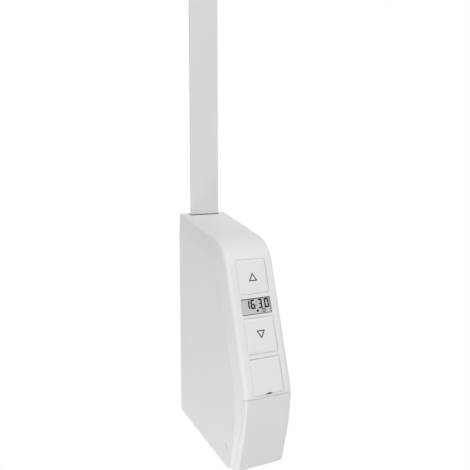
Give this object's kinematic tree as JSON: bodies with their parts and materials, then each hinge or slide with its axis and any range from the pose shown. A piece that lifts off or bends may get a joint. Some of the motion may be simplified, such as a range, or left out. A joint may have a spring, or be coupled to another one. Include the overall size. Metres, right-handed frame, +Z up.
{
  "type": "electric shutter belt winder",
  "caption": "Wall-mounted motor winder for a roller shutter belt, with up and down keys, a small clock display and a hinged flap over its setting keys.",
  "frame": {"origin": "on the wall, midway between the two wall screw holes, on the housing's centre line", "axes": "+X to the right for someone facing the wall, +Y into the wall, +Z up along the belt"},
  "size_m": [0.0386, 0.1132, 0.3412],
  "materials": {
    "housing": "fine-grained satin white plastic",
    "key": "satin white plastic",
    "display": "clear window over a pale grey liquid-crystal display",
    "webbing": "woven light grey shutter belt",
    "brush": "dense dark pile",
    "steel": "zinc-plated steel",
    "brass": "turned brass",
    "gear": "natural acetal",
    "drum": "black glass-filled nylon",
    "tray": "light grey plastic",
    "setting_key": "dark grey plastic",
    "plunger": "black plastic",
    "black": "black moulded plastic",
    "board": "green solder mask",
    "terminal": "grey-green terminal plastic",
    "wire": "grey insulated wire",
    "grommet": "dark grey rubber"
  },
  "bodies": {
    "housing": {"hood": "housing", "lower_cover": "housing", "cover_screw": "steel", "wall_plate": "steel", "left_cheek": "steel", "right_cheek": "steel", "frame_posts": "steel", "post_screws": "steel", "flange_screws": "steel", "drum_axle": "steel", "idler_pin": "steel", "roller_pin": "steel", "hall_sensor": "black", "motor_can": "steel", "motor_end_cap": "black", "motor_bracket": "steel", "motor_screws": "steel", "motor_leads": "wire", "belt_run": "webbing", "belt_brushes": "brush", "power_board": "board", "transformer": "black", "relays": "black", "supply_capacitor": "black", "control_board": "board", "board_screws": "steel", "control_chip": "black", "switch_cases": "black", "display_glass": "display", "display_holder": "tray", "board_sockets": "tray", "link_ribbon": "wire", "key_tray": "tray", "terminal_block": "terminal", "terminal_screws": "steel", "supply_lead": "wire", "cable_grommet": "grommet", "cable_clamp": "tray", "clamp_screws": "steel"},
    "drum": {"winding_drum": "drum", "drum_flange": "drum", "belt_coil": "webbing", "belt_pin": "steel", "magnet_ring": "black"},
    "wheel": {"worm_wheel": "gear", "pinion": "gear"},
    "worm": {"worm": "brass", "motor_shaft": "steel"},
    "roller": {"guide_roller": "gear"},
    "up_button": {"up_key": "key", "up_plunger": "plunger"},
    "down_button": {"down_key": "key", "down_plunger": "plunger"},
    "left_button": {"left_setting_key": "setting_key", "left_plunger": "plunger"},
    "middle_button": {"middle_setting_key": "setting_key", "middle_plunger": "plunger"},
    "right_button": {"right_setting_key": "setting_key", "right_plunger": "plunger"},
    "flap": {"settings_flap": "key"}
  },
  "joints": [
    {"name": "drum_spin", "type": "hinge", "parent": "housing", "child": "drum", "pos_m": [0, -0.052, -0.038], "axis": [-1, 0, 0], "continuous": true},
    {"name": "wheel_spin", "type": "hinge", "parent": "housing", "child": "wheel", "pos_m": [0, -0.068, 0.01158], "axis": [-1, 0, 0], "continuous": true},
    {"name": "worm_spin", "type": "hinge", "parent": "housing", "child": "worm", "pos_m": [0, -0.0576, 0.02718], "axis": [0, -1, 0], "continuous": true},
    {"name": "roller_spin", "type": "hinge", "parent": "housing", "child": "roller", "pos_m": [0, -0.01065, 0.046], "axis": [-1, 0, 0], "continuous": true},
    {"name": "up_press", "type": "slide", "parent": "housing", "child": "up_button", "axis": [0, 0.943, -0.3328], "range_m": [0, 0.0008], "stiffness_N_per_m": 400},
    {"name": "down_press", "type": "slide", "parent": "housing", "child": "down_button", "axis": [0, 0.943, -0.3328], "range_m": [0, 0.0008], "stiffness_N_per_m": 400},
    {"name": "left_press", "type": "slide", "parent": "housing", "child": "left_button", "axis": [0, 0.943, -0.3328], "range_m": [0, 0.0005], "stiffness_N_per_m": 400},
    {"name": "middle_press", "type": "slide", "parent": "housing", "child": "middle_button", "axis": [0, 0.943, -0.3328], "range_m": [0, 0.0005], "stiffness_N_per_m": 400},
    {"name": "right_press", "type": "slide", "parent": "housing", "child": "right_button", "axis": [0, 0.943, -0.3328], "range_m": [0, 0.0005], "stiffness_N_per_m": 400},
    {"name": "flap_hinge", "type": "hinge", "parent": "housing", "child": "flap", "pos_m": [0, -0.10533, -0.01344], "axis": [-1, 0, 0], "range_deg": [0, 90]}
  ],
  "couplings": [
    {"joint": "wheel_spin", "follows": "drum_spin", "ratio": -5.5},
    {"joint": "worm_spin", "follows": "drum_spin", "ratio": -121},
    {"joint": "roller_spin", "follows": "drum_spin", "ratio": 6}
  ]
}
